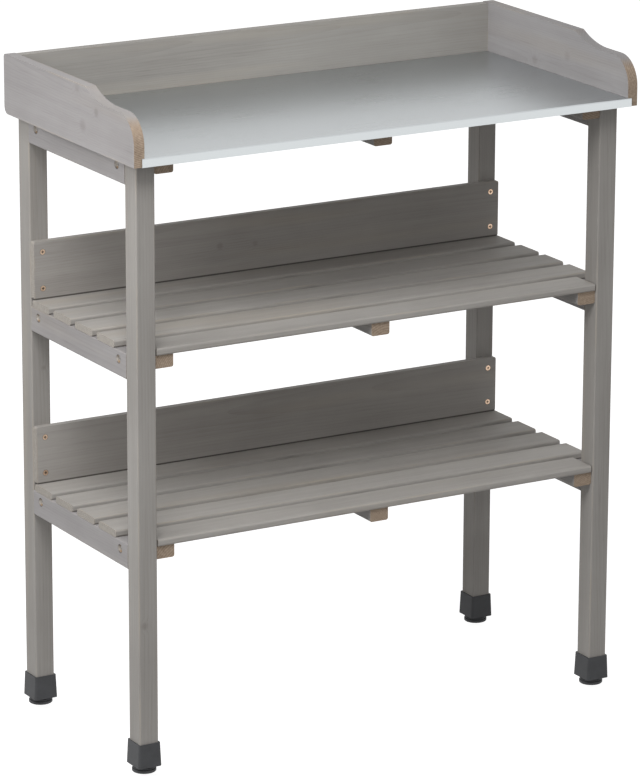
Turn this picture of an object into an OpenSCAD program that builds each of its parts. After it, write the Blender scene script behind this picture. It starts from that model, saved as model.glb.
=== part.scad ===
// Potting bench: a sheet-metal worktop between shaped side boards, two slatted shelves with
// backboards, and four legs in plastic caps on threaded levelling feet.
// Millimetres, Z up, front towards -Y, origin on the floor under the middle of the bench.

/* [Frame] */
// Width over the outer faces of the legs
frame_width = 744; // [500:1:1200]
// Depth over the outer faces of the legs
frame_depth = 341; // [260:1:600]
// Height of the metal worktop above the floor
worktop_height = 852; // [650:1:1000]
// Leg section, left to right
leg_width = 28; // [22:0.5:60]
// Leg section, front to back
leg_depth = 31; // [22:0.5:60]
// Height of every side rail
rail_height = 35; // [26:0.5:70]
// Rounding of the long edges of legs and rails
frame_edge_radius = 2; // [0.5:0.1:5]

/* [Shelves] */
// Top of the lower shelf's slats above the floor
lower_shelf_height = 326; // [150:1:450]
// Top of the upper shelf's slats above the floor
upper_shelf_height = 588; // [400:1:720]
// Slat width, front to back
slat_width = 50; // [30:0.5:58]
// Slat thickness
slat_thickness = 10; // [8:0.5:20]
// Rounding of the slats' long edges
slat_edge_radius = 3; // [0.5:0.1:4]
// Front slat's front edge behind the front of the legs
front_slat_setback = 1; // [0:0.5:20]
// Back slat's back edge in front of the back legs
back_slat_gap = 5; // [1:0.5:20]
// Gap between each end of the front slat and a front leg
front_slat_end_gap = 2; // [0.5:0.5:10]
// Width of every batten
batten_width = 28; // [18:0.5:60]
// Height of every batten
batten_height = 18; // [14:0.5:40]
// Shelf battens' ends behind the edge of the outermost slats
batten_setback = 3.5; // [0:0.5:20]
// Top battens' ends behind the faces of the legs
top_batten_setback = 1.5; // [0:0.5:20]
// Rounding of the battens' lower edges
batten_edge_radius = 3; // [0.5:0.1:6]
// Height of the two shelf backboards
backboard_height = 81; // [40:1:160]
// Thickness of the shelf backboards
backboard_thickness = 10; // [6:0.5:24]
// Gap between a backboard and the back slat
backboard_gap = 0.3; // [0.2:0.1:10]
// Backboards' ends short of the legs' outer faces
backboard_end_setback = 1; // [0:0.5:10]
// Corner rounding of the backboards
backboard_corner_radius = 3; // [0.5:0.5:20]

/* [Worktop] */
// Thickness of the wooden base under the sheet
panel_thickness = 11; // [9:0.5:30]
// Thickness of the metal sheet
sheet_thickness = 0.8; // [0.4:0.1:2]
// Outside radius of the sheet's front bend
bend_radius = 1.5; // [1:0.1:4]
// Height of the sheet's folded front lip, surface included
lip_height = 11.7; // [8:0.1:30]
// Lip's front face ahead of the side boards' front ends
lip_proud = 2.5; // [2:0.1:8]
// Lip's ends past the side boards' inner faces
lip_overlap = 4.5; // [0:0.5:14]
// Thickness of the side boards and of the back board
board_thickness = 15; // [12:0.5:30]
// Height of the side boards
board_height = 82.3; // [50:0.1:160]
// Side boards' front ends ahead of the legs
front_overhang = 25; // [5:0.5:60]
// Side boards' back ends behind the legs
back_overhang = 10.5; // [2:0.5:40]
// Back board's top below the side boards' tops
back_board_drop = 1.5; // [0:0.5:20]
// Back board's back face ahead of the side boards' back ends
back_board_setback = 1; // [0:0.5:10]
// Length of the shaped front part of a side board's top edge
shape_length = 135.5; // [90:0.5:220]
// Length of the hollow behind the rounded nose
hollow_length = 62; // [20:0.5:100]
// Depth of the hollow below the top edge
hollow_drop = 16; // [4:0.5:40]
// Radius of the rounded nose
nose_radius = 40; // [10:0.5:60]
// Rounding of the lower back corner of a side board
lower_corner_radius = 10; // [1:0.5:30]
// Rounding of the upper back corner of a side board
upper_corner_radius = 5; // [1:0.5:30]

/* [Feet] */
// Height of the plastic cap round a leg's end
cap_height = 33; // [20:0.5:60]
// Wall of the cap at its upper rim
cap_wall_top = 2.1; // [1:0.1:5]
// Wall of the cap at its foot
cap_wall_bottom = 3.7; // [1.5:0.1:8]
// Floor of the cap under the leg
cap_floor = 7; // [6:0.5:15]
// Gap between the cap's wall and the leg, each side
cap_fit = 0.2; // [0.05:0.05:0.5]
// Diameter of the foot's pad
pad_diameter = 33; // [24:0.5:60]
// Height of the foot's pad
pad_height = 4.5; // [4:0.1:12]
// Thickness of the pad over the stem's head
pad_roof = 1.8; // [1:0.1:1.9]
// Diameter of the wheel that turns the foot's stem
wheel_diameter = 31; // [20:0.5:58]
// Height of that wheel
wheel_height = 2.9; // [2:0.1:10]
// Gap between the wheel and the cap with the foot as drawn
foot_gap = 2; // [0.5:0.1:12]
// Diameter of the threaded stem over its crests
stem_diameter = 8; // [6:0.5:12]
// Stem's reach above the cap's floor
stem_reach = 28; // [12:1:60]
// Diameter of the stem's head inside the pad
stem_head_diameter = 14; // [10:0.5:24]
// Height of the stem's head
stem_head_height = 2; // [1:0.1:4]
// Width of the slot in the stem's head
slot_width = 1.6; // [0.8:0.1:3]
// Depth of that slot
slot_depth = 1; // [0.4:0.1:1.6]
// Width across the flats of the nut in the cap
nut_width = 13; // [10:0.5:19]
// Height of the nut
nut_height = 4; // [3:0.1:8]

/* [Fasteners] */
// Head diameter of the rail and backboard screws
screw_head_diameter = 7.6; // [5:0.1:12]
// Shank diameter of the rail and backboard screws
screw_diameter = 4; // [3:0.1:6]
// Length of the rail screws beyond the rail
rail_screw_bite = 12; // [8:0.5:24]
// Rail screws' distance from the legs' faces
rail_screw_inset = 22; // [10:0.5:60]
// Rail screws' distance below the top of the rail
rail_screw_drop = 12; // [8:0.5:20]
// Diameter of the countersink round a rail screw, at the rail's face
rail_sink_diameter = 11.5; // [9:0.5:16]
// Depth of a rail screw's head behind the rail's face
rail_sink_depth = 3; // [0.5:0.1:5]
// Length of the backboard screws beyond the backboard
backboard_screw_bite = 22; // [10:0.5:28]
// Backboard screws' distance from its upper and lower edges
backboard_screw_inset = 15; // [8:0.5:40]
// Head diameter of the screws up through the battens
batten_screw_head_diameter = 7; // [5:0.1:10]
// Shank diameter of the screws up through the battens
batten_screw_diameter = 3.5; // [2.5:0.1:5]
// Length of those screws beyond the batten
batten_screw_bite = 6; // [4:0.5:9]
// Distance of the outer worktop screws from the middle, front to back
worktop_screw_reach = 132; // [60:1:160]
// Diameter of the dowels between rails and legs
dowel_diameter = 8; // [6:0.5:12]
// Length of those dowels
dowel_length = 30; // [20:1:50]
// Height between the two dowels of a rail's end
dowel_spacing = 16; // [12:0.5:40]
// Diameter of the dowels between the worktop base and its boards
board_dowel_diameter = 6; // [4:0.5:8]
// Length of those dowels
board_dowel_length = 22; // [16:1:40]
// Depth of those dowels in a board
board_dowel_depth = 8; // [5:0.5:10]

/* [Hidden] */
$fn = 64;

// Clearances
hole_gap = 0.05;
end_gap = 0.3;
turn_gap = 0.06;
stem_hole_gap = 1;
sheet_gap = 0.4;
cap_corner = 0.3;
pad_lower_chamfer = 0.8;
pad_upper_chamfer = 0.6;
wheel_chamfer = 0.7;
stem_tip = 1;
slot_end = 1.5;
bore_room = 14;
cut = 1;

// Cross recess: its size as a share of the head, then its bar and depth as shares of that size
recess_share = 0.56;
recess_bar = 0.26;
recess_depth = 0.35;

// Where the base's dowels sit, as shares of the side boards' and the back board's length
side_dowel_shares = [-0.36, 0, 0.3];
back_dowel_shares = [-0.36, -0.12, 0.12, 0.36];

// Colours
wood_tone = [0.60, 0.58, 0.55];
end_tone = [0.62, 0.54, 0.44];
zinc_tone = [0.72, 0.76, 0.78];
plastic_tone = [0.20, 0.20, 0.21];
steel_tone = [0.70, 0.70, 0.70];
brass_tone = [0.66, 0.48, 0.30];
dowel_tone = [0.76, 0.64, 0.46];

// Frame
half_width = frame_width / 2;
half_depth = frame_depth / 2;
leg_x = half_width - leg_width / 2;
leg_y = half_depth - leg_depth / 2;
inner_x = half_width - leg_width;
inner_y = half_depth - leg_depth;

// Levels
panel_bottom = worktop_height - sheet_thickness - panel_thickness;
panel_top = worktop_height - sheet_thickness;
shelf_tops = [lower_shelf_height, upper_shelf_height];
rail_tops = [lower_shelf_height - slat_thickness, upper_shelf_height - slat_thickness, panel_bottom];
function rail_middle(tier) = rail_tops[tier] - rail_height / 2;

// Slats, counted from the back
slat_total = 5;
slat_front = -half_depth + front_slat_setback;
slat_back = inner_y - back_slat_gap;
slat_pitch = (slat_back - slat_front - slat_width) / (slat_total - 1);
function slat_y(i) = slat_back - slat_width / 2 - (i - 1) * slat_pitch;
backboard_width = frame_width - 2 * backboard_end_setback;

// Battens
batten_x = inner_x - batten_width / 2;
shelf_batten_front = slat_front + batten_setback;
shelf_batten_back = slat_back - batten_setback;
top_batten_end = half_depth - top_batten_setback;

// Worktop
board_front = -half_depth - front_overhang;
board_back = half_depth + back_overhang;
board_length = board_back - board_front;
board_top = panel_bottom + board_height;
back_board_back = board_back - back_board_setback;
back_board_front = back_board_back - board_thickness;
lip_front = board_front - lip_proud;
bend_y = lip_front + bend_radius;
nose_top = board_top - hollow_drop;
hollow_radius = (hollow_length * hollow_length + hollow_drop * hollow_drop) / (2 * hollow_drop);
hollow_y = board_front + shape_length - hollow_length;
panel_middle = panel_bottom + panel_thickness / 2;

// Feet
wheel_bottom = pad_height + hole_gap;
cap_bottom = wheel_bottom + wheel_height + foot_gap;
leg_bottom = cap_bottom + cap_floor;
pocket_diameter = stem_head_diameter + 2 * turn_gap;
pocket_height = pad_height - pad_roof;
stem_head_bottom = pocket_height - hole_gap - stem_head_height;
stem_top = leg_bottom + stem_reach;
leg_bore_top = stem_top + bore_room;

// Fasteners
head_slope = (screw_head_diameter - screw_diameter) / 2;
batten_head_slope = (batten_screw_head_diameter - batten_screw_diameter) / 2;
rail_screw_x = half_width - rail_sink_depth;
rail_screw_y = inner_y - rail_screw_inset;
rail_screw_length = leg_width - rail_sink_depth + rail_screw_bite;
backboard_screw_length = backboard_thickness + backboard_screw_bite;
batten_screw_length = batten_height + batten_screw_bite;

// The frame is drawn about its own middle, then moved so that the whole bench is centred.
centre_shift = -(lip_front + board_back) / 2;
module place() {
    translate([0, centre_shift, 0])
        children();
}

// ---- Shapes shared by several pieces ----

// Rounded rectangle with true arcs
module rounded_section(w, h, r) {
    square([w - 2 * r, h], center = true);
    square([w, h - 2 * r], center = true);
    for (x = [-1, 1], y = [-1, 1])
        translate([x * (w / 2 - r), y * (h / 2 - r)])
            circle(r);
}

// Rectangle with its two lower corners rounded, top edge on y = 0
module lower_rounded_section(w, h, r) {
    translate([-w / 2, r - h])
        square([w, h - r]);
    translate([r - w / 2, -h])
        square([w - 2 * r, h]);
    for (x = [-1, 1])
        translate([x * (w / 2 - r), r - h])
            circle(r);
}

// Bar along Y from y1 to y2, made by a child section drawn across it
module along_y(y1, y2) {
    translate([0, y2, 0])
        rotate([90, 0, 0])
            linear_extrude(y2 - y1)
                children();
}

// Countersunk screw, top of its head at the origin, shank towards -Z
module screw(length, diameter, head_diameter, slope, gap = 0) {
    translate([0, 0, -length - (gap > 0 ? end_gap : 0)])
        cylinder(d = diameter + 2 * gap, h = length + (gap > 0 ? end_gap : 0));
    translate([0, 0, -slope])
        cylinder(d1 = diameter + 2 * gap, d2 = head_diameter + 2 * gap, h = slope);
    if (gap > 0)
        translate([0, 0, -0.001])
            cylinder(d = head_diameter + 2 * gap, h = cut);
}

// Cross recess for a screw head
module cross_recess(size) {
    for (a = [0, 90])
        rotate([0, 0, a])
            translate([-size / 2, -size * recess_bar / 2, -size * recess_depth])
                cube([size, size * recess_bar, size]);
}

module main_screw(length) {
    difference() {
        screw(length, screw_diameter, screw_head_diameter, head_slope);
        cross_recess(screw_head_diameter * recess_share);
    }
}

module main_screw_hole(length) {
    screw(length, screw_diameter, screw_head_diameter, head_slope, hole_gap);
}

// Countersink from a rail screw's head out through the rail's face
module rail_sink() {
    cylinder(d1 = screw_head_diameter + 2 * hole_gap, d2 = rail_sink_diameter, h = rail_sink_depth);
    translate([0, 0, rail_sink_depth - 0.001])
        cylinder(d = rail_sink_diameter, h = cut);
}

module batten_screw() {
    difference() {
        screw(batten_screw_length, batten_screw_diameter, batten_screw_head_diameter, batten_head_slope);
        cross_recess(batten_screw_head_diameter * recess_share);
    }
}

module batten_screw_hole() {
    d = batten_screw_diameter;
    screw(batten_screw_length, d, batten_screw_head_diameter, batten_head_slope, hole_gap);
}

// Dowel along Z with its middle at the origin
module dowel(diameter, length, gap = 0) {
    cylinder(d = diameter + 2 * gap, h = length + (gap > 0 ? 2 * end_gap : 0), center = true);
}

// ---- Where the fasteners go ----

module at_rail_screws(side, tier) {
    for (y = [-1, 1])
        translate([side * rail_screw_x, y * rail_screw_y, rail_tops[tier] - rail_screw_drop])
            rotate([0, side * 90, 0])
                children();
}

module at_backboard_screws(side, level) {
    low = shelf_tops[level] + backboard_gap + backboard_screw_inset;
    high = shelf_tops[level] + backboard_gap + backboard_height - backboard_screw_inset;
    for (z = [low, high])
        translate([side * leg_x, inner_y - backboard_thickness, z])
            rotate([90, 0, 0])
                children();
}

module at_shelf_batten_screws(pos, level, slats) {
    for (i = slats)
        translate([pos * batten_x, slat_y(i), rail_tops[level] - batten_height])
            rotate([180, 0, 0])
                children();
}

module at_worktop_screws(pos) {
    for (y = [-worktop_screw_reach, 0, worktop_screw_reach])
        translate([pos * batten_x, y, panel_bottom - batten_height])
            rotate([180, 0, 0])
                children();
}

module at_rail_dowels(side, end, tier) {
    for (z = [-1, 1])
        translate([side * leg_x, end * inner_y, rail_middle(tier) + z * dowel_spacing / 2])
            rotate([90, 0, 0])
                children();
}

module at_side_dowels(side) {
    x = half_width + board_dowel_depth - board_dowel_length / 2;
    for (share = side_dowel_shares)
        translate([side * x, board_length * share, panel_middle])
            rotate([0, 90, 0])
                children();
}

module at_back_dowels() {
    y = back_board_front + board_dowel_depth - board_dowel_length / 2;
    for (share = back_dowel_shares)
        translate([frame_width * share, y, panel_middle])
            rotate([90, 0, 0])
                children();
}

// ---- Frame pieces ----

module leg(side, end) {
    difference() {
        translate([side * leg_x, end * leg_y, leg_bottom])
            linear_extrude(panel_bottom - leg_bottom)
                rounded_section(leg_width, leg_depth, frame_edge_radius);
        for (tier = [0, 1, 2])
            at_rail_dowels(side, end, tier)
                dowel(dowel_diameter, dowel_length, hole_gap);
        if (end > 0)
            for (level = [0, 1])
                at_backboard_screws(side, level)
                    main_screw_hole(backboard_screw_length);
        translate([side * leg_x, end * leg_y, leg_bottom - cut])
            cylinder(d = stem_diameter + 2 * stem_hole_gap, h = leg_bore_top - leg_bottom + cut);
    }
}

module rail(side, tier) {
    difference() {
        translate([side * leg_x, 0, rail_middle(tier)])
            along_y(-inner_y, inner_y)
                rounded_section(leg_width, rail_height, frame_edge_radius);
        for (end = [-1, 1])
            at_rail_dowels(side, end, tier)
                dowel(dowel_diameter, dowel_length, hole_gap);
        at_rail_screws(side, tier) {
            main_screw_hole(rail_screw_length);
            rail_sink();
        }
    }
}

module batten_bar(pos, top, y1, y2) {
    translate([pos * batten_x, 0, top])
        along_y(y1, y2)
            lower_rounded_section(batten_width, batten_height, batten_edge_radius);
}

module batten(pos, tier) {
    difference() {
        if (tier == 2)
            batten_bar(pos, panel_bottom, -top_batten_end, top_batten_end);
        else
            batten_bar(pos, rail_tops[tier], shelf_batten_front, shelf_batten_back);
        if (pos != 0)
            at_rail_screws(pos, tier)
                main_screw_hole(rail_screw_length);
        if (tier == 2)
            at_worktop_screws(pos)
                batten_screw_hole();
        else
            at_shelf_batten_screws(pos, tier, [1, 2, 3, 4, 5])
                batten_screw_hole();
    }
}

module slat(level, i) {
    length = i == slat_total ? 2 * (inner_x - front_slat_end_gap) : frame_width;
    difference() {
        translate([0, slat_y(i), shelf_tops[level] - slat_thickness / 2])
            rotate([0, 0, 90])
                along_y(-length / 2, length / 2)
                    rounded_section(slat_width, slat_thickness, slat_edge_radius);
        for (pos = [-1, 0, 1])
            at_shelf_batten_screws(pos, level, [i])
                batten_screw_hole();
    }
}

module backboard(level) {
    middle = shelf_tops[level] + backboard_gap + backboard_height / 2;
    difference() {
        translate([0, 0, middle])
            along_y(inner_y - backboard_thickness, inner_y)
                rounded_section(backboard_width, backboard_height, backboard_corner_radius);
        for (side = [-1, 1])
            at_backboard_screws(side, level)
                main_screw_hole(backboard_screw_length);
    }
}

// ---- Worktop pieces ----

module panel() {
    difference() {
        translate([-half_width, bend_y, panel_bottom])
            cube([frame_width, back_board_front - bend_y, panel_thickness]);
        for (pos = [-1, 0, 1])
            at_worktop_screws(pos)
                batten_screw_hole();
        for (side = [-1, 1])
            at_side_dowels(side)
                dowel(board_dowel_diameter, board_dowel_length, hole_gap);
        at_back_dowels()
            dowel(board_dowel_diameter, board_dowel_length, hole_gap);
    }
}

// Flat sheet between the boards, its bend, and the lip that hangs over the front of the base
module tray() {
    wide = half_width + lip_overlap;
    narrow = half_width - sheet_gap;
    strip_back = board_front - end_gap;
    translate([-narrow, strip_back, panel_top])
        cube([2 * narrow, back_board_front - sheet_gap - strip_back, sheet_thickness]);
    translate([-wide, bend_y, panel_top])
        cube([2 * wide, strip_back - bend_y, sheet_thickness]);
    translate([-wide, lip_front, worktop_height - lip_height])
        cube([2 * wide, sheet_thickness, lip_height - bend_radius]);
    intersection() {
        translate([-wide, bend_y, worktop_height - bend_radius])
            rotate([0, 90, 0])
                difference() {
                    cylinder(r = bend_radius, h = 2 * wide);
                    translate([0, 0, -cut])
                        cylinder(r = bend_radius - sheet_thickness, h = 2 * wide + 2 * cut);
                }
        translate([-wide - cut, lip_front - cut, worktop_height - bend_radius])
            cube([2 * wide + 2 * cut, bend_radius + cut, bend_radius + cut]);
    }
}

// Cylinder across a side board, through its whole thickness
module across_board(r) {
    translate([-cut, 0, 0])
        rotate([0, 90, 0])
            cylinder(r = r, h = board_thickness + 2 * cut, $fn = 180);
}

// What a rounded corner takes off a square one; dy and dz point out of the corner
module corner_waste(y, z, r, dy, dz) {
    difference() {
        translate([-cut, dy > 0 ? y - r : y - cut, dz > 0 ? z - r : z - cut])
            cube([board_thickness + 2 * cut, r + cut, r + cut]);
        translate([-cut, y - dy * r, z - dz * r])
            across_board(r);
        translate([board_thickness - 2 * cut, y - dy * r, z - dz * r])
            across_board(r);
    }
}

// Side board with its inner face on x = 0 and its outer face on x = board_thickness
module side_board_blank() {
    difference() {
        translate([0, board_front, panel_bottom])
            cube([board_thickness, board_length, board_height]);
        translate([0, hollow_y, nose_top + hollow_radius])
            across_board(hollow_radius);
        translate([-cut, board_front - cut, nose_top])
            cube([board_thickness + 2 * cut, hollow_y - board_front + cut, hollow_drop + cut]);
        corner_waste(board_front, nose_top, nose_radius, -1, 1);
        corner_waste(board_back, panel_bottom, lower_corner_radius, 1, -1);
        corner_waste(board_back, board_top, upper_corner_radius, 1, 1);
    }
}

module side_board(side) {
    difference() {
        if (side > 0)
            translate([half_width, 0, 0])
                side_board_blank();
        else
            translate([-half_width, 0, 0])
                mirror([1, 0, 0])
                    side_board_blank();
        at_side_dowels(side)
            dowel(board_dowel_diameter, board_dowel_length, hole_gap);
    }
}

module back_board_piece() {
    difference() {
        translate([-half_width, back_board_front, panel_bottom])
            cube([frame_width, board_thickness, board_height - back_board_drop]);
        at_back_dowels()
            dowel(board_dowel_diameter, board_dowel_length, hole_gap);
    }
}

// ---- Feet ----

module at_foot(side, end) {
    translate([side * leg_x, end * leg_y, 0])
        children();
}

module cap() {
    foot_radius = cap_wall_bottom + cap_corner;
    rim_radius = cap_wall_top + cap_corner;
    difference() {
        hull()
            for (x = [-1, 1], y = [-1, 1])
                translate([x * (leg_width / 2 - cap_corner), y * (leg_depth / 2 - cap_corner), cap_bottom])
                    cylinder(r1 = foot_radius, r2 = rim_radius, h = cap_height, $fn = 32);
        translate([-leg_width / 2 - cap_fit, -leg_depth / 2 - cap_fit, leg_bottom])
            cube([leg_width + 2 * cap_fit, leg_depth + 2 * cap_fit, cap_height]);
        translate([0, 0, leg_bottom - nut_height - 2 * hole_gap])
            cylinder(d = (nut_width + 2 * end_gap) / cos(30), h = nut_height + cut, $fn = 6);
        translate([0, 0, cap_bottom - cut])
            cylinder(d = stem_diameter + 2 * end_gap, h = cap_floor);
    }
}

module nut() {
    translate([0, 0, leg_bottom - nut_height - hole_gap])
        difference() {
            cylinder(d = nut_width / cos(30), h = nut_height, $fn = 6);
            translate([0, 0, -cut])
                cylinder(d = stem_diameter + 2 * turn_gap, h = nut_height + 2 * cut);
        }
}

// Disc with a chamfer round its lower and its upper rim
module chamfered_disc(d, h, lower, upper) {
    r = d / 2;
    rotate_extrude()
        polygon([[0, 0], [r - lower, 0], [r, lower], [r, h - upper], [r - upper, h], [0, h]]);
}

module pad() {
    difference() {
        chamfered_disc(pad_diameter, pad_height, pad_lower_chamfer, pad_upper_chamfer);
        translate([0, 0, -cut])
            cylinder(d = pocket_diameter, h = pocket_height + cut);
        translate([0, 0, -cut])
            cylinder(d = stem_diameter + 2 * turn_gap, h = pad_height + 2 * cut);
    }
}

module wheel() {
    translate([0, 0, wheel_bottom])
        difference() {
            chamfered_disc(wheel_diameter, wheel_height, wheel_chamfer, wheel_chamfer);
            translate([0, 0, -cut])
                cylinder(d = stem_diameter + 2 * hole_gap, h = wheel_height + 2 * cut);
        }
}

module stem() {
    difference() {
        union() {
            translate([0, 0, stem_head_bottom])
                cylinder(d = stem_head_diameter, h = stem_head_height);
            translate([0, 0, stem_head_bottom])
                cylinder(d = stem_diameter, h = stem_top - stem_head_bottom - stem_tip);
            translate([0, 0, stem_top - stem_tip])
                cylinder(d1 = stem_diameter, d2 = stem_diameter - 2 * stem_tip, h = stem_tip);
        }
        translate([slot_end - stem_head_diameter / 2, -slot_width / 2, stem_head_bottom - cut])
            cube([stem_head_diameter - 2 * slot_end, slot_width, slot_depth + cut]);
    }
}

// ---- Nodes ----

module leg_front_left() { color(wood_tone) place() leg(-1, -1); }
module leg_front_right() { color(wood_tone) place() leg(1, -1); }
module leg_back_left() { color(wood_tone) place() leg(-1, 1); }
module leg_back_right() { color(wood_tone) place() leg(1, 1); }

module top_rail_left() { color(wood_tone) place() rail(-1, 2); }
module top_rail_right() { color(wood_tone) place() rail(1, 2); }
module upper_rail_left() { color(wood_tone) place() rail(-1, 1); }
module upper_rail_right() { color(wood_tone) place() rail(1, 1); }
module lower_rail_left() { color(wood_tone) place() rail(-1, 0); }
module lower_rail_right() { color(wood_tone) place() rail(1, 0); }

module top_batten_left() { color(end_tone) place() batten(-1, 2); }
module top_batten_centre() { color(end_tone) place() batten(0, 2); }
module top_batten_right() { color(end_tone) place() batten(1, 2); }
module upper_batten_left() { color(end_tone) place() batten(-1, 1); }
module upper_batten_centre() { color(end_tone) place() batten(0, 1); }
module upper_batten_right() { color(end_tone) place() batten(1, 1); }
module lower_batten_left() { color(end_tone) place() batten(-1, 0); }
module lower_batten_centre() { color(end_tone) place() batten(0, 0); }
module lower_batten_right() { color(end_tone) place() batten(1, 0); }

module upper_slat_1() { color(wood_tone) place() slat(1, 1); }
module upper_slat_2() { color(wood_tone) place() slat(1, 2); }
module upper_slat_3() { color(wood_tone) place() slat(1, 3); }
module upper_slat_4() { color(wood_tone) place() slat(1, 4); }
module upper_slat_5() { color(wood_tone) place() slat(1, 5); }
module lower_slat_1() { color(wood_tone) place() slat(0, 1); }
module lower_slat_2() { color(wood_tone) place() slat(0, 2); }
module lower_slat_3() { color(wood_tone) place() slat(0, 3); }
module lower_slat_4() { color(wood_tone) place() slat(0, 4); }
module lower_slat_5() { color(wood_tone) place() slat(0, 5); }

module upper_backboard() { color(wood_tone) place() backboard(1); }
module lower_backboard() { color(wood_tone) place() backboard(0); }

module worktop_panel() { color(end_tone) place() panel(); }
module zinc_tray() { color(zinc_tone) place() tray(); }
module side_board_left() { color(wood_tone) place() side_board(-1); }
module side_board_right() { color(wood_tone) place() side_board(1); }
module back_board() { color(wood_tone) place() back_board_piece(); }

module cap_front_left() { color(plastic_tone) place() at_foot(-1, -1) cap(); }
module cap_front_right() { color(plastic_tone) place() at_foot(1, -1) cap(); }
module cap_back_left() { color(plastic_tone) place() at_foot(-1, 1) cap(); }
module cap_back_right() { color(plastic_tone) place() at_foot(1, 1) cap(); }

module pad_front_left() { color(plastic_tone) place() at_foot(-1, -1) pad(); }
module pad_front_right() { color(plastic_tone) place() at_foot(1, -1) pad(); }
module pad_back_left() { color(plastic_tone) place() at_foot(-1, 1) pad(); }
module pad_back_right() { color(plastic_tone) place() at_foot(1, 1) pad(); }

module wheel_front_left() { color(plastic_tone) place() at_foot(-1, -1) wheel(); }
module wheel_front_right() { color(plastic_tone) place() at_foot(1, -1) wheel(); }
module wheel_back_left() { color(plastic_tone) place() at_foot(-1, 1) wheel(); }
module wheel_back_right() { color(plastic_tone) place() at_foot(1, 1) wheel(); }

module stem_front_left() { color(steel_tone) place() at_foot(-1, -1) stem(); }
module stem_front_right() { color(steel_tone) place() at_foot(1, -1) stem(); }
module stem_back_left() { color(steel_tone) place() at_foot(-1, 1) stem(); }
module stem_back_right() { color(steel_tone) place() at_foot(1, 1) stem(); }

module cap_nuts() {
    color(steel_tone)
        place()
            for (side = [-1, 1], end = [-1, 1])
                at_foot(side, end)
                    nut();
}

module rail_screws() {
    color(steel_tone)
        place()
            for (side = [-1, 1], tier = [0, 1, 2])
                at_rail_screws(side, tier)
                    main_screw(rail_screw_length);
}

module backboard_screws() {
    color(brass_tone)
        place()
            for (side = [-1, 1], level = [0, 1])
                at_backboard_screws(side, level)
                    main_screw(backboard_screw_length);
}

module batten_screws() {
    color(steel_tone)
        place()
            for (pos = [-1, 0, 1]) {
                for (level = [0, 1])
                    at_shelf_batten_screws(pos, level, [1, 2, 3, 4, 5])
                        batten_screw();
                at_worktop_screws(pos)
                    batten_screw();
            }
}

module rail_dowels() {
    color(dowel_tone)
        place()
            for (side = [-1, 1], end = [-1, 1], tier = [0, 1, 2])
                at_rail_dowels(side, end, tier)
                    dowel(dowel_diameter, dowel_length);
}

module board_dowels() {
    color(dowel_tone)
        place() {
            for (side = [-1, 1])
                at_side_dowels(side)
                    dowel(board_dowel_diameter, board_dowel_length);
            at_back_dowels()
                dowel(board_dowel_diameter, board_dowel_length);
        }
}

leg_front_left();
leg_front_right();
leg_back_left();
leg_back_right();
top_rail_left();
top_rail_right();
upper_rail_left();
upper_rail_right();
lower_rail_left();
lower_rail_right();
top_batten_left();
top_batten_centre();
top_batten_right();
upper_batten_left();
upper_batten_centre();
upper_batten_right();
lower_batten_left();
lower_batten_centre();
lower_batten_right();
upper_slat_1();
upper_slat_2();
upper_slat_3();
upper_slat_4();
upper_slat_5();
lower_slat_1();
lower_slat_2();
lower_slat_3();
lower_slat_4();
lower_slat_5();
upper_backboard();
lower_backboard();
worktop_panel();
zinc_tray();
side_board_left();
side_board_right();
back_board();
cap_front_left();
cap_front_right();
cap_back_left();
cap_back_right();
pad_front_left();
pad_front_right();
pad_back_left();
pad_back_right();
wheel_front_left();
wheel_front_right();
wheel_back_left();
wheel_back_right();
stem_front_left();
stem_front_right();
stem_back_left();
stem_back_right();
cap_nuts();
rail_screws();
backboard_screws();
batten_screws();
rail_dowels();
board_dowels();
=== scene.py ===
"""Looks of the potting bench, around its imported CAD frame.

Metres, Z up, front towards -Y, as in the CAD. Every wooden board keeps its CAD shape and gets a solid
wood material of its own, so that no two boards share their grain. The feet's stems get real threads.
"""

import math
import random

import bmesh
import bpy
from mathutils import Matrix, Vector


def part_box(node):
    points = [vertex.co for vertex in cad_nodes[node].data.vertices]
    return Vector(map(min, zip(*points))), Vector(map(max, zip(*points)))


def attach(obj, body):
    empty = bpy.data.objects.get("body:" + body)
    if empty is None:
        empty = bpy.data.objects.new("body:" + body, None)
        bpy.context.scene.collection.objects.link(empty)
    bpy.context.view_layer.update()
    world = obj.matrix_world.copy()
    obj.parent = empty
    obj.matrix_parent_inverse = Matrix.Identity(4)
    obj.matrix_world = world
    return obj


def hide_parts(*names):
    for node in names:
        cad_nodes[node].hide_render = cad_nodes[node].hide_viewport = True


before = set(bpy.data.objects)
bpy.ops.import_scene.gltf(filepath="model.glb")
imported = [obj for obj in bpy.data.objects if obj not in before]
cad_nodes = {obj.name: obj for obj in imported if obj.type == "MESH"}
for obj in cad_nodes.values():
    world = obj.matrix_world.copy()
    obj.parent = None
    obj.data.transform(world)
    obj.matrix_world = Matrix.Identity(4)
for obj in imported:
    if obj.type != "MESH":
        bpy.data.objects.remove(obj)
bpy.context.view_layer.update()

CORNERS = ("front_left", "front_right", "back_left", "back_right")
SIDES = ("left", "right")
SHELVES = ("upper", "lower")
LEVELS = ("top", *SHELVES)
SLATS_PER_SHELF = 5

# Stained softwood, linear colours
WOOD_DARK = (0.235, 0.224, 0.216)
WOOD_MID = (0.330, 0.318, 0.308)
WOOD_LIGHT = (0.415, 0.405, 0.396)
TAN = (0.430, 0.370, 0.290)
KNOT_DARK = (0.150, 0.130, 0.115)
# Painted shade: the dark ring round the screws and the line at the backboards' foot
PAINTED_SHADE = (0.045, 0.040, 0.036)
RAW_SINK = (0.300, 0.210, 0.130)
RAW_END = ((0.200, 0.140, 0.100), (0.470, 0.370, 0.280))
STAINED_END = ((0.270, 0.245, 0.220), (0.430, 0.400, 0.360))
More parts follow.
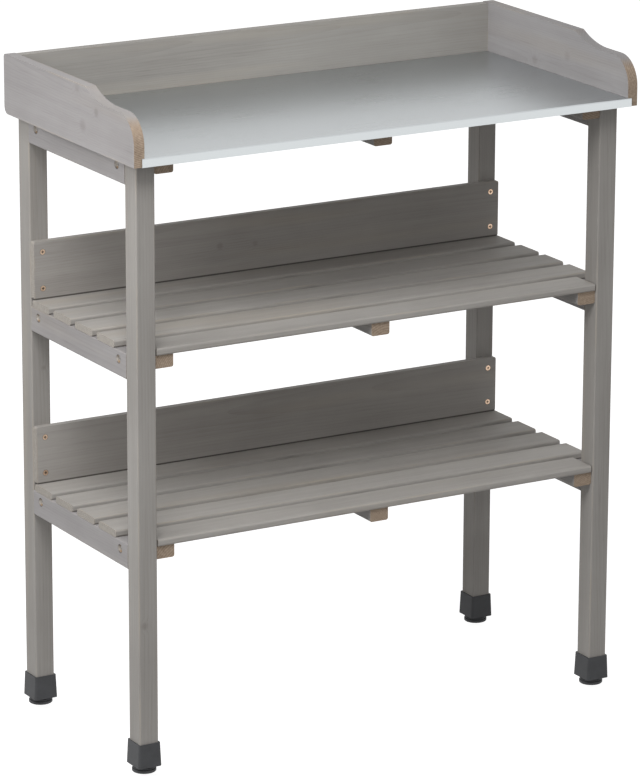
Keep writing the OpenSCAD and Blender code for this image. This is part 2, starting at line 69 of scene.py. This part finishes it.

# Metals, dark and pale, and the painted shade in the screw heads' recess
BRASS = ((0.52, 0.34, 0.22), (0.86, 0.66, 0.50))
HEAD_STEEL = ((0.34, 0.33, 0.31), (0.86, 0.84, 0.81))
PLAIN_STEEL = ((0.46, 0.44, 0.40), (0.66, 0.64, 0.58))
RECESS_PAINTED_SHADE = (0.030, 0.026, 0.024)

# Layers of the stained wood: scale along the grain, scale across it, detail, roughness, share in the tone
WOOD_LAYERS = {
    "streak": (2.4, 85.0, 3.0, 0.6, 0.32),
    "mottle": (2.6, 15.0, 2.0, 0.5, 0.45),
    "cloud": (7.0, 7.0, 3.0, 0.55, 0.42),
    "fibre": (26.0, 950.0, 2.0, 0.6, 0.24),
}
# Shares of the late lines and the pores in the tone
LATE_SHARE, LATE_OFFSET = -0.11, 0.03
PORE_SHARE = -0.10
WOOD_BUMP = 0.00018

# A board's place in its log: the pith's distances and slopes, the rings' spacing, and the noise's shift
PITH_ACROSS = (0.02, 0.05)
PITH_UP = (0.015, 0.04)
PITH_SLOPES = (0.012, 0.02)
RING_SPACING = (0.0024, 0.0036)
NOISE_SHIFT = 9.0

# Worn edges: width of the bare core and of the whole worn strip
EDGE_CORE = 0.0002
EDGE_REACH = 0.0028

# Tints of the stain on different boards
PLAIN = (1.0, 1.0, 1.0)
COOL = (1.0, 0.990, 1.020)
COOL_DARK = (0.93, 0.921, 0.950)
WARM = (1.0, 0.985, 0.955)
WARM_DARK = (0.95, 0.935, 0.898)
WARM_PALE = (1.08, 1.058, 1.025)
SLAT_PALE = (1.15, 1.132, 1.095)

# Knots of single boards: (along the grain, across, across, radius, strength), places from the middle
KNOTS = {
    "side_board_left": (
        (-0.029, 0.035, -0.0075, 0.008, 0.20),
        (-0.083, 0.012, -0.0075, 0.007, 0.34),
        (-0.044, -0.013, -0.0075, 0.010, 0.26),
    ),
    "side_board_right": ((-0.035, 0.001, -0.0075, 0.008, 0.22), (0.048, -0.019, -0.0075, 0.008, 0.26)),
    "upper_backboard": ((-0.084, -0.005, 0.0, 0.006, 0.30), (-0.028, -0.005, -0.003, 0.005, 0.22)),
    "leg_front_left": ((-0.219, -0.006, -0.0155, 0.006, 0.34),),
    "leg_back_left": ((0.060, 0.004, -0.0155, 0.004, 0.30),),
}

# Screw marks: the dark ring of painted shade outside the head or countersink, and how far inside it the raw
# wood begins
HEAD_RADIUS = 0.0038
SINK_RADIUS = 0.00575
RING_WIDTH = 0.0009
RING_STRENGTH = 0.75
RAW_RIM = (0.0009, 0.0004)
RAW_STRENGTH = 0.9

# Distances of the screw heads' planes from the bench's middle
RAIL_HEAD_PLANE = 0.369
BACKBOARD_HEAD_PLANE = 0.138

# Screws through a board: direction, with 0 along the grain, places from the board's middle, and radius
RAIL_SCREWS = (2, ((-0.1175, 0.0055, 0.0), (0.1175, 0.0055, 0.0)), SINK_RADIUS)
BACKBOARD_PLACES = tuple((x, 0.0, z) for x in (-0.358, 0.358) for z in (-0.0255, 0.0255))
BACKBOARD_SCREWS = (1, BACKBOARD_PLACES, HEAD_RADIUS)

# Painted shade: a dark line at the foot of each shelf backboard, where it stands on its slat
FOOT_LINE = 0.0026
FOOT_LINE_STRENGTH = 0.85

# Stems of the levelling feet; the lead-in is the top's radius as a share of the core's
PITCH = 0.00125
THREAD_DEPTH = 0.00062
STEM_RADIUS = 0.004
LEAD_IN = 0.86
HEAD_HEIGHT = 0.002
SLOT_SHARE = 0.5
SLOT_HALF_WIDTH = 0.0008
NECK_INSIDE_WHEEL = 0.0004
STEPS_AROUND = 32
STEPS_HALF_ROUND = 20
ROWS_PER_PITCH = 8

# Studio, with places in metres and angles in degrees; the floor is just under the feet screwed right out
FLOOR_HEIGHT = -0.0103
FLOOR_REACH = 30.0
FLOOR_GLOW = 0.88
WORLD_STRENGTH = 0.43
# Lamps: name, place, target, size, watts, spread
LAMPS = (
    ("near_left", (-1.4, -0.3, 1.3), (-0.3, 0.0, 0.6), 0.8, 9.3, 180.0),
    ("front_left", (-1.15, -1.35, 2.6), (-0.35, 0.0, 0.5), 1.0, 12.8, 110.0),
)
CAMERA_PLACE = (-3.0075, -5.1988, 2.1697)
CAMERA_YAW, CAMERA_PITCH, CAMERA_ROLL = 30.027, 16.006, 0.211
CAMERA_LENS = 254.49
SENSOR_WIDTH = 36.0
CAMERA_REACH = 100.0


# ---- Node graphs ----


class Graph:
    """The node graph of a material or a world, with short calls for the nodes that they use."""

    def __init__(self, owner):
        owner.use_nodes = True
        self.tree = owner.node_tree

    def add(self, kind, **settings):
        node = self.tree.nodes.new(kind)
        for key, value in settings.items():
            setattr(node, key, value)
        return node

    def put(self, socket, value):
        """Links an output to the socket, or sets the socket to a plain value."""
        if isinstance(value, bpy.types.NodeSocket):
            self.tree.links.new(value, socket)
        else:
            socket.default_value = value

    def coordinates(self, kind="Object"):
        return self.add("ShaderNodeTexCoord").outputs[kind]

    def math(self, operation, a, b=0.0):
        node = self.add("ShaderNodeMath", operation=operation)
        self.put(node.inputs[0], a)
        self.put(node.inputs[1], b)
        return node.outputs[0]

    def scaled(self, value, factor, plus=0.0):
        node = self.add("ShaderNodeMath", operation="MULTIPLY_ADD")
        self.put(node.inputs[0], value)
        self.put(node.inputs[1], factor)
        self.put(node.inputs[2], plus)
        return node.outputs[0]

    def vector(self, operation, a, b=(0.0, 0.0, 0.0)):
        node = self.add("ShaderNodeVectorMath", operation=operation)
        self.put(node.inputs[0], a)
        self.put(node.inputs[1], b)
        return node.outputs["Value" if operation in ("LENGTH", "DISTANCE") else "Vector"]

    def combine(self, x, y, z):
        node = self.add("ShaderNodeCombineXYZ")
        for socket, value in zip(node.inputs, (x, y, z)):
            self.put(socket, value)
        return node.outputs[0]

    def separate(self, vector):
        node = self.add("ShaderNodeSeparateXYZ")
        self.put(node.inputs[0], vector)
        return tuple(node.outputs)

    def noise(self, vector, scale, detail=2.0, roughness=0.5):
        """Noise about 0.5, with its own scale along each axis."""
        node = self.add("ShaderNodeTexNoise")
        self.put(node.inputs["Vector"], self.vector("MULTIPLY", vector, scale))
        self.put(node.inputs["Scale"], 1.0)
        self.put(node.inputs["Detail"], detail)
        self.put(node.inputs["Roughness"], roughness)
        return node.outputs["Fac"]

    def centred(self, noise, size):
        """The noise about 0, from -size / 2 to size / 2."""
        return self.scaled(noise, size, -size / 2)

    def smooth(self, value, low, high):
        """0 below low, 1 above high, smooth between them."""
        node = self.add("ShaderNodeMapRange", interpolation_type="SMOOTHSTEP")
        self.put(node.inputs["Value"], value)
        self.put(node.inputs["From Min"], low)
        self.put(node.inputs["From Max"], high)
        return node.outputs["Result"]

    def fading(self, value, low, high, top=1.0):
        """top below low, 0 above high, smooth between them."""
        return self.scaled(self.smooth(value, low, high), -top, top)

    def ramp(self, value, stops):
        node = self.add("ShaderNodeValToRGB")
        elements = node.color_ramp.elements
        while len(elements) < len(stops):
            elements.new(0.5)
        for element, (place, colour) in zip(elements, stops):
            element.position = place
            element.color = (*colour, 1.0)
        self.put(node.inputs[0], value)
        return node.outputs[0]

    def mix(self, factor, first, second):
        """The first colour at 0 and the second at 1; only the second may be a plain colour."""
        node = self.add("ShaderNodeMix", data_type="RGBA")
        self.put(node.inputs["Factor"], factor)
        self.put(node.inputs[6], first)
        self.put(node.inputs[7], (*second, 1.0) if isinstance(second, tuple) else second)
        return node.outputs[2]


class Material(Graph):
    """A new material, with its Principled shader."""

    def __init__(self, name):
        self.material = bpy.data.materials.new(name)
        super().__init__(self.material)
        self.shader = self.tree.nodes["Principled BSDF"]

    def bump(self, height, distance, strength=1.0):
        node = self.add("ShaderNodeBump")
        self.put(node.inputs["Height"], height)
        self.put(node.inputs["Distance"], distance)
        self.put(node.inputs["Strength"], strength)
        self.put(self.shader.inputs["Normal"], node.outputs[0])

    def surface(self, colour, roughness, metallic=0.0, specular=0.5):
        self.put(self.shader.inputs["Base Color"], colour)
        self.put(self.shader.inputs["Roughness"], roughness)
        self.put(self.shader.inputs["Metallic"], metallic)
        self.put(self.shader.inputs["Specular IOR Level"], specular)

    def dress(self, *nodes):
        """Gives CAD nodes this material on every slot."""
        for node in nodes:
            slots = cad_nodes[node].data.materials
            if not slots:
                slots.append(self.material)
            for index in range(len(slots)):
                slots[index] = self.material


# ---- Wood ----


def board_place(graph, node, grain):
    """Places in a board, in metres from its middle, its normal and its half size.

    Each has three parts: along the grain, across it and across it again.
    """
    low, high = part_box(node)
    middle = (low + high) / 2
    half = (high - low) / 2
    place = graph.separate(graph.vector("SUBTRACT", graph.coordinates(), tuple(middle)))
    normal = graph.separate(graph.coordinates("Normal"))
    order = {"X": (0, 1, 2), "Y": (1, 2, 0), "Z": (2, 0, 1)}[grain]
    return [[parts[i] for i in order] for parts in (place, normal, half)]


def knot_fields(graph, place, knots):
    """How much each place is in a knot, and how far the rings bend round the knots, in metres."""
    inside, bend = 0.0, 0.0
    point = graph.combine(*place)
    for along, across, up, radius, strength in knots:
        distance = graph.vector("DISTANCE", point, (along, across, up))
        core = graph.fading(distance, radius * 0.25, radius * 1.25, strength)
        reach = graph.fading(distance, radius * 0.4, radius * 2.4, radius * 0.5)
        inside = graph.math("MAXIMUM", inside, core)
        bend = graph.math("ADD", bend, reach)
    return inside, bend


def rings(graph, place, seeded, bend, chance):
    """Growth rings: 0 in the pale early wood, rising to 1 at each dark late line."""
    side = chance.choice((-1, 1))
    pith = (chance.uniform(*PITH_ACROSS) * side, chance.uniform(*PITH_UP))
    slope = [chance.uniform(-steepest, steepest) for steepest in PITH_SLOPES]
    spacing = chance.uniform(*RING_SPACING)
    warp = graph.centred(graph.noise(seeded, (1.3, 11.0, 11.0), 2.0), 0.012)
    ripple = graph.centred(graph.noise(seeded, (6.0, 60.0, 60.0), 1.0), 0.0016)
    across = graph.math("ADD", graph.scaled(place[0], slope[0], -pith[0]), place[1])
    up = graph.math("ADD", graph.scaled(place[0], slope[1], -pith[1]), place[2])
    radius = graph.vector("LENGTH", graph.combine(0.0, across, up))
    radius = graph.math("ADD", graph.math("ADD", radius, warp), graph.math("ADD", ripple, bend))
    phase = graph.math("FRACT", graph.scaled(radius, 1.0 / spacing))
    return graph.math("POWER", phase, 3.0)


def wood_layers(graph, seeded):
    """The noise of each layer of the stained wood, by name."""
    layers = {}
    for name, (along, across, detail, roughness, _) in WOOD_LAYERS.items():
        layers[name] = graph.noise(seeded, (along, across, across), detail, roughness)
    return layers


def stained_face(graph, layers, late, pore, tint):
    """Colour of the stain over the layers, the dark late lines and the pores."""
    value = 0.5
    for name, noise in layers.items():
        value = graph.math("ADD", value, graph.centred(noise, WOOD_LAYERS[name][-1]))
    value = graph.math("ADD", value, graph.scaled(late, LATE_SHARE, LATE_OFFSET))
    value = graph.math("ADD", value, graph.scaled(pore, PORE_SHARE))
    dark, mid, light = (
        tuple(c * t for c, t in zip(tone, tint)) for tone in (WOOD_DARK, WOOD_MID, WOOD_LIGHT)
    )
    return graph.ramp(value, ((0.1, dark), (0.5, mid), (0.9, light)))


def edge_wear(graph, place, half, seeded):
    """Worn places along a board's long edges and round its ends."""
    gaps = [graph.scaled(graph.math("ABSOLUTE", place[i]), -1.0, half[i]) for i in (0, 1, 2)]
    long_edge = graph.math("MAXIMUM", gaps[1], gaps[2])
    end = graph.math("MAXIMUM", gaps[0], graph.math("MINIMUM", gaps[1], gaps[2]))
    near = graph.fading(graph.math("MINIMUM", long_edge, end), EDGE_CORE, EDGE_REACH)
    patch = graph.smooth(graph.noise(seeded, (9.0, 40.0, 40.0), 2.0), 0.44, 0.66)
    return graph.math("MULTIPLY", near, patch)


def screw_marks(graph, face, place, direction, spots, radius):
    """A dark ring of painted shade round each screw, and the raw wood of its countersink."""
    flat = list(place)
    flat[direction] = 0.0
    point = graph.combine(*flat)
    near = 1.0
    for spot in spots:
        near = graph.math("MINIMUM", near, graph.vector("DISTANCE", point, spot))
    ring = graph.fading(near, radius, radius + RING_WIDTH)
    raw = graph.fading(near, radius - RAW_RIM[0], radius - RAW_RIM[1])
    face = graph.mix(graph.scaled(ring, RING_STRENGTH), face, PAINTED_SHADE)
    return graph.mix(graph.scaled(raw, RAW_STRENGTH), face, RAW_SINK)


def foot_painted_shade(graph, face, place, half):
    """A dark line of painted shade along the board's lower edge, where it meets the slat."""
    above = graph.math("ADD", place[2], half[2])
    line = graph.fading(above, FOOT_LINE / 2, FOOT_LINE, FOOT_LINE_STRENGTH)
    return graph.mix(line, face, PAINTED_SHADE)


def end_grain(graph, seeded, late, tones):
    """Colour of a cross cut, from dark to pale."""
    ray = graph.noise(seeded, (60.0, 320.0, 320.0), 3.0, 0.65)
    value = graph.math("ADD", graph.scaled(late, -0.50, 0.70), graph.centred(ray, 1.1))
    return graph.ramp(value, ((0.1, tones[0]), (0.9, tones[1])))


def wood(node, grain, tint=PLAIN, warm=0.3, wear=0.35, ends=STAINED_END, screws=None, foot_shade=False):
    """Grey-stained softwood for one board, with its own place in the log.

    warm is the strength of the tan patches and wear that of the rubbed edges.
    """
    chance = random.Random(node)
    graph = Material("wood_" + node)
    place, normal, half = board_place(graph, node, grain)
    shift = tuple(chance.uniform(-NOISE_SHIFT, NOISE_SHIFT) for _ in range(3))
    seeded = graph.vector("ADD", graph.combine(*place), shift)
    inside, bend = knot_fields(graph, place, KNOTS.get(node, ()))
    late = rings(graph, place, seeded, bend, chance)
    layers = wood_layers(graph, seeded)
    pore = graph.smooth(graph.noise(seeded, (14.0, 430.0, 430.0), 1.0), 0.62, 0.74)

    face = stained_face(graph, layers, late, pore, tint)
    thin = graph.smooth(graph.noise(seeded, (1.7, 24.0, 24.0), 2.0), 0.52, 0.80)
    face = graph.mix(graph.scaled(thin, warm), face, TAN)
    face = graph.mix(graph.scaled(edge_wear(graph, place, half, seeded), wear), face, TAN)
    face = graph.mix(inside, face, KNOT_DARK)
    # Painted shade in a ring round each screw, and raw wood in its countersink
    if screws:
        face = screw_marks(graph, face, place, *screws)
    # Painted shade along the foot of the shelf backboards
    if foot_shade:
        face = foot_painted_shade(graph, face, place, half)
    cross_cut = graph.smooth(graph.math("ABSOLUTE", normal[0]), 0.35, 0.85)
    colour = graph.mix(cross_cut, face, end_grain(graph, seeded, late, ends))

    rough = graph.math("ADD", graph.scaled(layers["streak"], -0.14, 0.70), graph.scaled(cross_cut, 0.14))
    graph.surface(colour, rough, specular=0.32)
    height = graph.math("ADD", graph.scaled(layers["fibre"], 0.5), graph.scaled(late, -0.35))
    height = graph.math("ADD", height, graph.scaled(pore, -0.5))
    graph.bump(height, WOOD_BUMP, 0.55)
    graph.dress(node)


def dress_wood():
    """A material for each wooden board, by the way its grain runs."""
    for corner in CORNERS:
        wood("leg_" + corner, "Z", tint=WARM)
    for level in LEVELS:
        for side in SIDES:
            wood(f"{level}_rail_{side}", "Y", tint=COOL, screws=RAIL_SCREWS)
        for place in ("left", "centre", "right"):
            wood(f"{level}_batten_{place}", "Y", warm=0.5, wear=0.6, ends=RAW_END)
    for level in SHELVES:
        for number in range(1, SLATS_PER_SHELF + 1):
            wood(f"{level}_slat_{number}", "X", tint=SLAT_PALE, wear=0.5)
        wood(level + "_backboard", "X", tint=WARM_PALE, screws=BACKBOARD_SCREWS, foot_shade=True)
    wood("side_board_left", "Y", tint=COOL, ends=RAW_END)
    wood("side_board_right", "Y", tint=COOL_DARK, ends=RAW_END)
    wood("back_board", "X", tint=WARM_DARK, warm=0.5)
    wood("worktop_panel", "X", ends=RAW_END)


def dowel_wood():
    """Pale beech, never seen once the bench is built."""
    graph = Material("dowel_beech")
    place = graph.coordinates()
    fleck = graph.noise(place, (420.0, 420.0, 420.0), 2.0)
    cloud = graph.noise(place, (30.0, 30.0, 30.0), 2.0)
    value = graph.math("ADD", graph.scaled(fleck, 0.6), graph.scaled(cloud, 0.4))
    colour = graph.ramp(value, ((0.3, (0.42, 0.27, 0.15)), (0.7, (0.60, 0.43, 0.27))))
    graph.surface(colour, graph.scaled(fleck, 0.2, 0.5), specular=0.35)
    graph.bump(fleck, 0.0001)
    graph.dress("rail_dowels", "board_dowels")


# ---- Metal and plastic ----


def zinc_sheet():
    """Satin zinc-coated sheet: faint rolling lines, soft clouds and fine flecks, and a painted highlight
    that makes the front-facing lip paler.
    """
    graph = Material("zinc_sheet")
    place = graph.coordinates()
    rolled = graph.noise(place, (9.0, 900.0, 900.0), 2.0, 0.6)
    cloud = graph.noise(place, (5.0, 8.0, 8.0), 3.0, 0.5)
    fleck = graph.noise(place, (160.0, 160.0, 160.0), 2.0)
    value = graph.math("ADD", graph.scaled(rolled, 0.2), graph.scaled(cloud, 0.6))
    value = graph.math("ADD", value, graph.scaled(fleck, 0.2))
    colour = graph.ramp(value, ((0.3, (0.495, 0.525, 0.540)), (0.7, (0.530, 0.560, 0.575))))
    # Painted highlight: faces turned to the front, such as the lip, are made paler
    front = graph.smooth(graph.scaled(graph.separate(graph.coordinates("Normal"))[1], -1.0), 0.3, 0.8)
    colour = graph.mix(front, colour, (0.60, 0.63, 0.64))
    rough = graph.math("ADD", graph.scaled(cloud, 0.03, 0.265), graph.centred(rolled, 0.03))
    graph.surface(colour, rough, metallic=0.92)
    graph.bump(graph.math("ADD", rolled, graph.scaled(fleck, 0.5)), 0.00004, 0.35)
    graph.dress("zinc_tray")


def black_plastic():
    """Moulded dark grey plastic with a fine grain, a little paler where it is rubbed."""
    graph = Material("black_plastic")
    place = graph.coordinates()
    grain = graph.noise(place, (1500.0, 1500.0, 1500.0), 2.0)
    cloud = graph.noise(place, (55.0, 55.0, 55.0), 3.0)
    value = graph.math("ADD", graph.scaled(grain, 0.35), graph.scaled(cloud, 0.65))
    colour = graph.ramp(value, ((0.3, (0.052, 0.053, 0.056)), (0.7, (0.076, 0.078, 0.082))))
    graph.surface(colour, graph.scaled(cloud, 0.2, 0.46), specular=0.22)
    graph.bump(grain, 0.00012, 0.5)
    for corner in CORNERS:
        graph.dress("cap_" + corner, "wheel_" + corner, "pad_" + corner)


def recess_depth(graph, place, axis, plane):
    """Depth in a screw head's recess, in metres.

    On axis 0 the heads face away from the bench's middle, and on axis 1 they face it.
    """
    distance = graph.math("ABSOLUTE", graph.separate(place)[axis])
    away = graph.math("SUBTRACT", distance, plane)
    return graph.scaled(away, -1.0) if axis == 0 else away


def metal(name, dark, pale, roughness, nodes, head=None):
    """Plated metal of small parts, clouded and slightly rough, with painted shade in the screw heads'
    recess.

    head is the axis that the screws lie along and the distance of their heads' plane from the middle.
    """
    graph = Material(name)
    place = graph.coordinates()
    fleck = graph.noise(place, (700.0, 700.0, 700.0), 2.0)
    cloud = graph.noise(place, (120.0, 120.0, 120.0), 2.0)
    value = graph.math("ADD", graph.scaled(fleck, 0.4), graph.scaled(cloud, 0.6))
    colour = graph.ramp(value, ((0.3, dark), (0.7, pale)))
    metallic = 1.0
    if head:
        # Painted shade: the recess is made dark and not metallic
        recess_shade = graph.smooth(recess_depth(graph, place, *head), 0.0001, 0.0003)
        colour = graph.mix(recess_shade, colour, RECESS_PAINTED_SHADE)
        metallic = graph.scaled(recess_shade, -0.9, 1.0)
    graph.surface(colour, graph.scaled(cloud, 0.2, roughness), metallic)
    graph.bump(fleck, 0.00004, 0.5)
    graph.dress(*nodes)
    return graph.material


def dress_metal():
    """Dresses every metal piece but the sheet, and returns the steel of the stems."""
    metal("brass_heads", *BRASS, 0.36, ["backboard_screws"], (1, BACKBOARD_HEAD_PLANE))
    metal("steel_heads", *HEAD_STEEL, 0.28, ["rail_screws"], (0, RAIL_HEAD_PLANE))
    return metal("screw_steel", *PLAIN_STEEL, 0.26, ["batten_screws", "cap_nuts"])


# ---- Threaded stems of the levelling feet ----


def add_object(name, data):
    """A new object in the scene with this data."""
    added = bpy.data.objects.new(name, data)
    bpy.context.scene.collection.objects.link(added)
    return added


def ring_of(mesh, middle, z, radii):
    """A ring of vertices round the stem's axis at height z, one for each radius."""
    ring = []
    for step, radius in enumerate(radii):
        angle = 2 * math.pi * step / STEPS_AROUND
        offset = Vector((radius * math.cos(angle), radius * math.sin(angle), 0.0))
        ring.append(mesh.verts.new(middle + offset + Vector((0.0, 0.0, z))))
    return ring


def round_ring(mesh, middle, z, radius):
    """A plain circle of vertices at height z."""
    return ring_of(mesh, middle, z, [radius] * STEPS_AROUND)


def join_rings(mesh, lower, upper):
    """A wall between two rings with the same number of vertices."""
    for step in range(len(lower)):
        after = (step + 1) % len(lower)
        mesh.faces.new((lower[step], lower[after], upper[after], upper[step]))


def thread_radii(z, start, minor, taper):
    """Radii at height z of a right-handed thread, a rounded ridge once per pitch, cut down by the taper."""
    radii = []
    for step in range(STEPS_AROUND):
        phase = ((z - start) / PITCH - step / STEPS_AROUND) % 1.0
        ridge = 0.5 + 0.5 * math.cos(2 * math.pi * phase)
        radii.append(minor + THREAD_DEPTH * ridge * taper)
    return radii


def stem_rod(mesh, middle, low, thread_low, top):
    """A plain neck up to thread_low, the thread above it, and a short lead-in at the top."""
    minor = STEM_RADIUS - THREAD_DEPTH
    first = round_ring(mesh, middle, low, minor)
    mesh.faces.new(list(reversed(first)))
    last = round_ring(mesh, middle, thread_low, minor)
    join_rings(mesh, first, last)
    rows = int((top - thread_low) / PITCH * ROWS_PER_PITCH)
    for row in range(1, rows):
        z = thread_low + (top - thread_low) * row / rows
        taper = min(1.0, (top - z) / PITCH, (z - thread_low) / PITCH)
        ring = ring_of(mesh, middle, z, thread_radii(z, thread_low, minor, taper))
        join_rings(mesh, last, ring)
        last = ring
    ring = round_ring(mesh, middle, top, minor * LEAD_IN)
    join_rings(mesh, last, ring)
    mesh.faces.new(ring)


def half_disc(mesh, middle, radius, low, high, side):
    """Half of the head beside the slot, from low to high."""
    start = math.asin(SLOT_HALF_WIDTH / radius)
    turn = (math.pi - 2 * start) / STEPS_HALF_ROUND
    angles = [start + turn * step for step in range(STEPS_HALF_ROUND + 1)]
    flat = [Vector((radius * math.cos(a), side * radius * math.sin(a), 0.0)) for a in angles]
    lower, upper = (
        [mesh.verts.new(middle + point + Vector((0.0, 0.0, z))) for point in flat] for z in (low, high)
    )
    mesh.faces.new(lower)
    mesh.faces.new(upper)
    join_rings(mesh, lower, upper)


def stem_head(mesh, middle, radius, low, high):
    """The stem's flat head in the pad, slotted from below."""
    slot_top = low + (high - low) * SLOT_SHARE
    first = round_ring(mesh, middle, slot_top, radius)
    second = round_ring(mesh, middle, high, radius)
    mesh.faces.new(list(reversed(first)))
    join_rings(mesh, first, second)
    mesh.faces.new(second)
    for side in (-1, 1):
        half_disc(mesh, middle, radius, low, slot_top, side)


def threaded_stem(corner, steel):
    """Stands for the plain CAD stem, with a real thread inside the same box."""
    low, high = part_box("stem_" + corner)
    middle = Vector(((low.x + high.x) / 2, (low.y + high.y) / 2, 0.0))
    head_top = low.z + HEAD_HEIGHT
    wheel_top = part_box("wheel_" + corner)[1].z
    mesh = bmesh.new()
    stem_head(mesh, middle, (high.x - low.x) / 2, low.z, head_top)
    stem_rod(mesh, middle, head_top, wheel_top - NECK_INSIDE_WHEEL, high.z)
    bmesh.ops.recalc_face_normals(mesh, faces=mesh.faces)
    data = bpy.data.meshes.new("threaded_stem_" + corner)
    mesh.to_mesh(data)
    mesh.free()
    data.materials.append(steel)
    stem = add_object("threaded_stem_" + corner, data)
    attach(stem, "screw_" + corner)
    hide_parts("stem_" + corner)


# ---- Studio ----


def studio_floor():
    """A wide pale floor that looks white and takes the shadow."""
    data = bpy.data.meshes.new("studio_floor")
    signs = ((-1, -1), (1, -1), (1, 1), (-1, 1))
    corners = [(x * FLOOR_REACH, y * FLOOR_REACH, FLOOR_HEIGHT) for x, y in signs]
    data.from_pydata(corners, [], [(0, 1, 2, 3)])
    floor = add_object("studio_floor", data)
    graph = Material("studio_floor")
    graph.surface((0.50, 0.50, 0.50, 1.0), 0.9, specular=0.0)
    path = graph.add("ShaderNodeLightPath")
    mirrored = graph.math("MAXIMUM", path.outputs["Is Glossy Ray"], path.outputs["Is Transmission Ray"])
    seen = graph.scaled(path.outputs["Is Camera Ray"], FLOOR_GLOW)
    glow = graph.add("ShaderNodeEmission")
    graph.put(glow.inputs["Strength"], graph.math("ADD", seen, mirrored))
    both = graph.add("ShaderNodeAddShader")
    graph.put(both.inputs[0], graph.shader.outputs[0])
    graph.put(both.inputs[1], glow.outputs[0])
    graph.put(graph.tree.nodes["Material Output"].inputs["Surface"], both.outputs[0])
    data.materials.append(graph.material)


def studio_world():
    """White where it is seen or mirrored, and weaker as a light."""
    world = bpy.data.worlds.new("studio")
    bpy.context.scene.world = world
    graph = Graph(world)
    path = graph.add("ShaderNodeLightPath")
    seen = graph.math("MAXIMUM", path.outputs["Is Camera Ray"], path.outputs["Is Glossy Ray"])
    seen = graph.math("MAXIMUM", seen, path.outputs["Is Transmission Ray"])
    background = graph.tree.nodes["Background"]
    graph.put(background.inputs["Color"], (1.0, 1.0, 1.0, 1.0))
    graph.put(background.inputs["Strength"], graph.scaled(seen, 1.0 - WORLD_STRENGTH, WORLD_STRENGTH))


def studio_lamps():
    """The area lamps, each turned to its target."""
    for name, place, target, size, watts, spread in LAMPS:
        data = bpy.data.lights.new(name, "AREA")
        data.size = size
        data.energy = watts
        data.spread = math.radians(spread)
        lamp = add_object(name, data)
        lamp.location = place
        lamp.rotation_euler = (Vector(target) - Vector(place)).to_track_quat("-Z", "Y").to_euler()


def studio_camera():
    """The camera of the reference view."""
    yaw, pitch, roll = (math.radians(a) for a in (CAMERA_YAW, CAMERA_PITCH, CAMERA_ROLL))
    right = Vector((math.cos(yaw), -math.sin(yaw), 0.0))
    forward = Vector(
        (math.sin(yaw) * math.cos(pitch), math.cos(yaw) * math.cos(pitch), -math.sin(pitch))
    )
    up = right.cross(forward)
    x_axis = right * math.cos(roll) + up * math.sin(roll)
    y_axis = up * math.cos(roll) - right * math.sin(roll)
    turn = Matrix((x_axis, y_axis, -forward)).transposed()
    data = bpy.data.cameras.new("studio_camera")
    data.sensor_fit = "HORIZONTAL"
    data.sensor_width = SENSOR_WIDTH
    data.lens = CAMERA_LENS
    data.clip_end = CAMERA_REACH
    camera = add_object("studio_camera", data)
    camera.matrix_world = Matrix.Translation(CAMERA_PLACE) @ turn.to_4x4()
    bpy.context.scene.camera = camera


def build():
    dress_wood()
    dowel_wood()
    zinc_sheet()
    black_plastic()
    steel = dress_metal()
    for corner in CORNERS:
        threaded_stem(corner, steel)
    studio_camera()
    studio_floor()
    studio_world()
    studio_lamps()
    bpy.context.scene.view_settings.view_transform = "Standard"


build()
